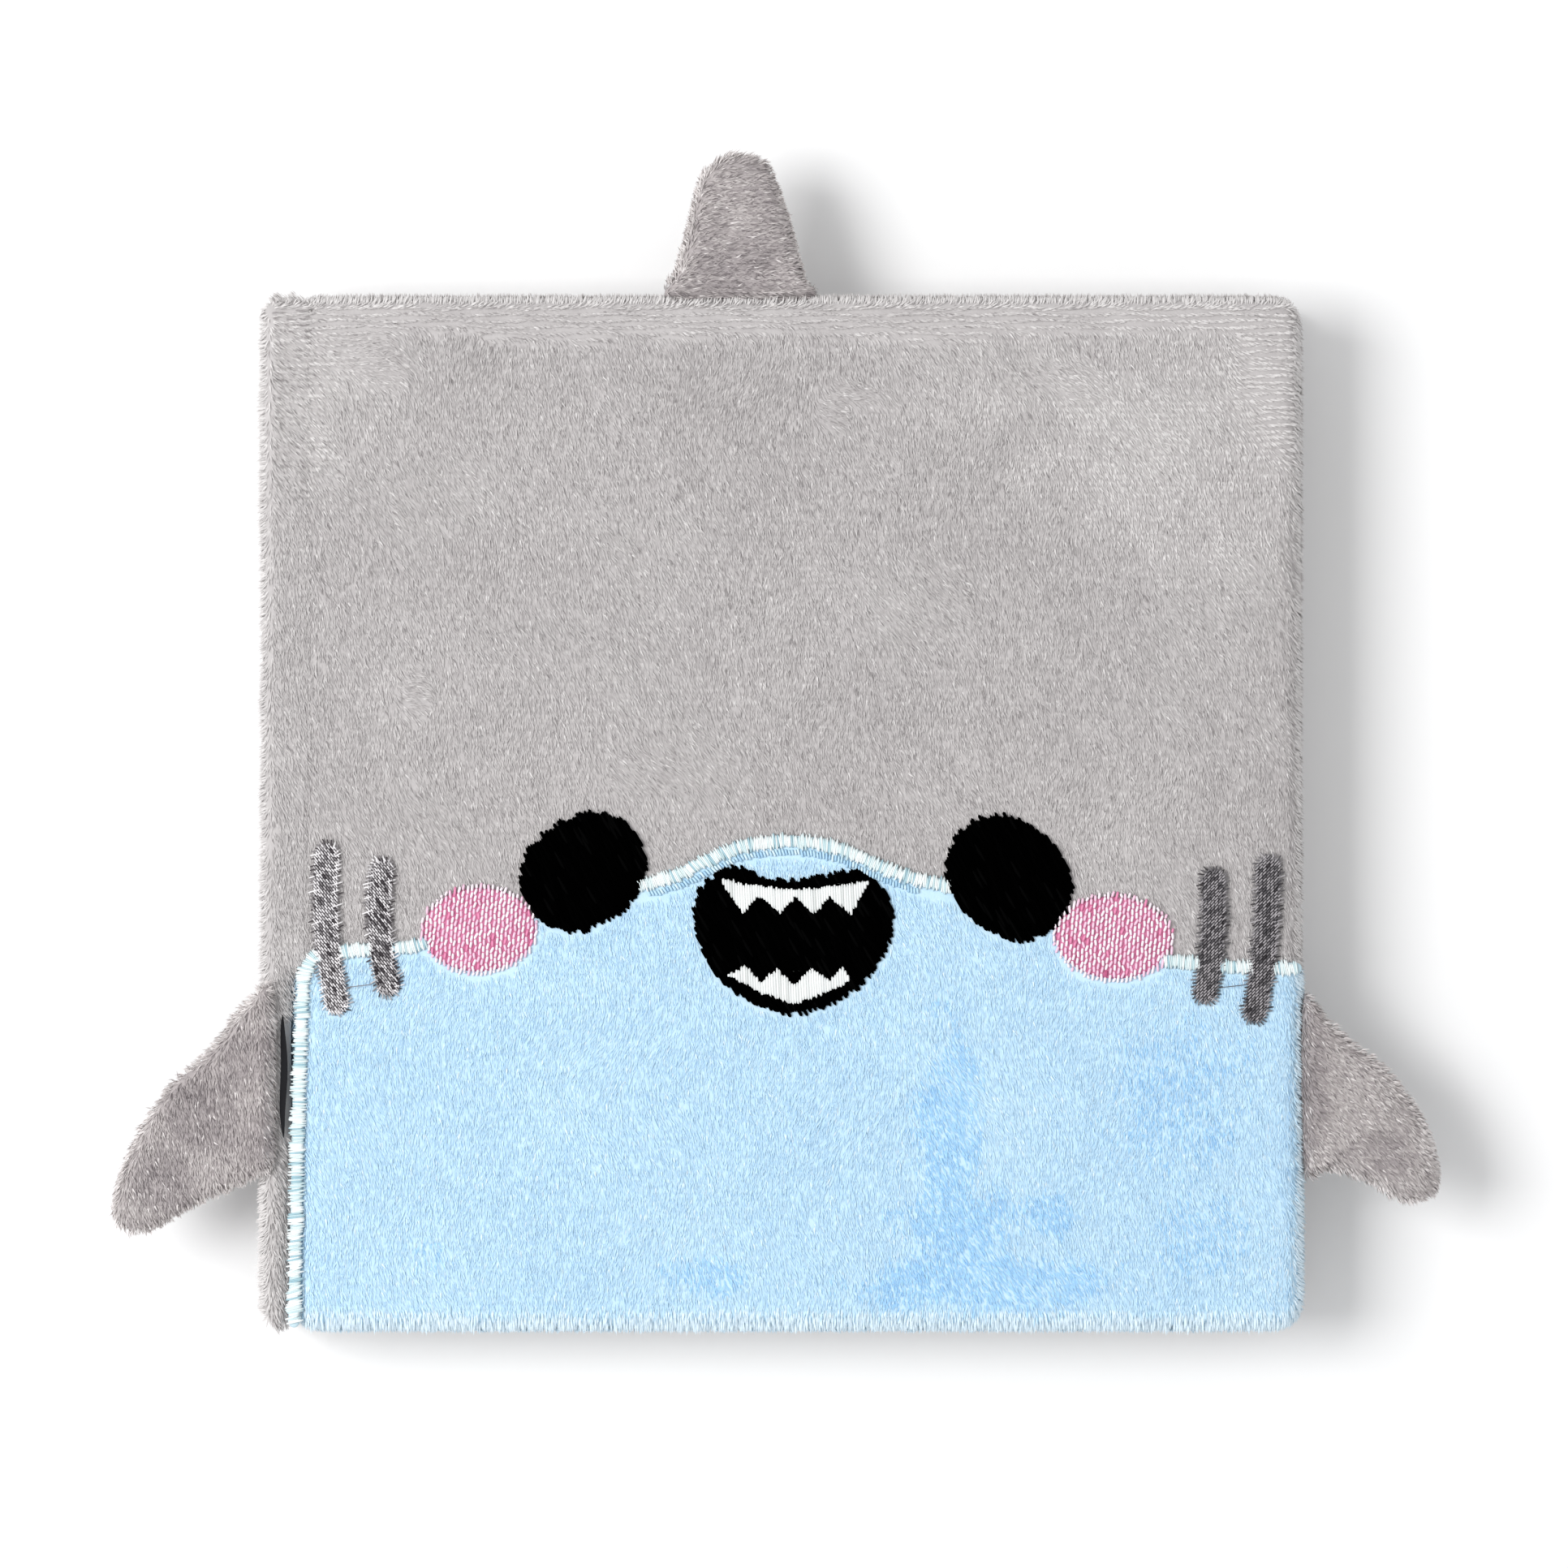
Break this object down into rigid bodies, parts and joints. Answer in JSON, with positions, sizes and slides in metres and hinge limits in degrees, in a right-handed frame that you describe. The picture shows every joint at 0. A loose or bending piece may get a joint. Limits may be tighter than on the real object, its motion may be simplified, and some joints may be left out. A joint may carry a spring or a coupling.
{
  "type": "plush-covered notebook",
  "caption": "Square hardback notebook in a padded plush cover made up as a shark, with fins, embroidered face and gills; the cover opens on a soft cloth joint.",
  "frame": {"origin": "middle of the bounding box, on the table under the back cover", "axes": "+X from the spine to the fore edge and along the longest extent, +Y to the head with the dorsal fin, +Z out of the front cover"},
  "size_m": [0.1906, 0.1688, 0.022],
  "materials": {
    "grey_plush": "short-pile plush, light warm grey",
    "blue_plush": "short-pile plush, pale blue",
    "mint_thread": "satin stitch, mint white",
    "black_thread": "embroidery thread, black",
    "white_thread": "embroidery thread, white",
    "pink_thread": "embroidery thread, pink",
    "grey_thread": "embroidery thread, dark grey",
    "board": "grey-brown binder's board",
    "wadding": "thin polyester wadding",
    "paper": "uncoated white paper",
    "band": "woven cloth"
  },
  "bodies": {
    "back_cover": {"back_plush": "grey_plush", "back_wadding": "wadding", "back_board": "board", "back_pastedown": "paper", "back_flyleaf": "paper", "page_section_2": "paper", "page_section_3": "paper", "page_section_4": "paper", "page_section_5": "paper", "spine_lining": "band", "head_band": "band", "tail_band": "band", "spine_board": "board", "spine_plush": "grey_plush", "front_joint_plush": "grey_plush", "back_joint_plush": "grey_plush"},
    "front_cover": {"front_plush": "grey_plush", "belly_panel": "blue_plush", "front_wadding": "wadding", "front_board": "board", "front_pastedown": "paper", "left_fin_root": "grey_plush", "left_eye": "black_thread", "right_eye": "black_thread", "left_cheek": "pink_thread", "right_cheek": "pink_thread", "mouth": "black_thread", "upper_teeth": "white_thread", "lower_teeth": "white_thread", "left_outer_gill": "grey_thread", "left_inner_gill": "grey_thread", "right_inner_gill": "grey_thread", "right_outer_gill": "grey_thread", "belly_border_left": "mint_thread", "belly_border_middle": "mint_thread", "belly_border_right": "mint_thread"},
    "flyleaf": {"front_flyleaf": "paper"},
    "first_section": {"page_section_1": "paper"},
    "left_fin": {"left_fin_front_skin": "grey_plush", "left_fin_back_skin": "grey_plush", "left_fin_filling": "wadding"},
    "right_fin": {"right_fin_front_skin": "grey_plush", "right_fin_back_skin": "grey_plush", "right_fin_filling": "wadding"},
    "dorsal_fin": {"dorsal_fin_front_skin": "grey_plush", "dorsal_fin_back_skin": "grey_plush", "dorsal_fin_filling": "wadding"}
  },
  "joints": [
    {"name": "front_cover_hinge", "type": "hinge", "parent": "back_cover", "child": "front_cover", "pos_m": [-0.07329, -0.00981, 0.0149], "axis": [0, -1, 0], "range_deg": [0, 180], "deforming": ["front_joint_plush", "left_fin_root"]},
    {"name": "flyleaf_turn", "type": "hinge", "parent": "back_cover", "child": "flyleaf", "pos_m": [-0.06809, -0.00981, 0.01465], "axis": [0, -1, 0], "range_deg": [0, 175]},
    {"name": "first_section_turn", "type": "hinge", "parent": "back_cover", "child": "first_section", "pos_m": [-0.06809, -0.00981, 0.01465], "axis": [0, -1, 0], "range_deg": [0, 166]},
    {"name": "left_fin_fold", "type": "hinge", "parent": "front_cover", "child": "left_fin", "pos_m": [-0.07364, -0.05481, 0.0139], "axis": [0, -1, 0], "range_deg": [-90, 0]},
    {"name": "right_fin_flap", "type": "hinge", "parent": "front_cover", "child": "right_fin", "pos_m": [0.07851, -0.05181, 0.01735], "axis": [0, -1, 0], "range_deg": [-35, 35], "stiffness_Nm_per_rad": 0.01},
    {"name": "dorsal_fin_flap", "type": "hinge", "parent": "front_cover", "child": "dorsal_fin", "pos_m": [-0.00559, 0.06709, 0.01735], "axis": [1, 0, 0], "range_deg": [-35, 35], "stiffness_Nm_per_rad": 0.01}
  ],
  "couplings": [
    {"joint": "flyleaf_turn", "follows": "front_cover_hinge", "ratio": 0.97},
    {"joint": "first_section_turn", "follows": "front_cover_hinge", "ratio": 0.92},
    {"joint": "left_fin_fold", "follows": "front_cover_hinge", "ratio": -0.5}
  ]
}
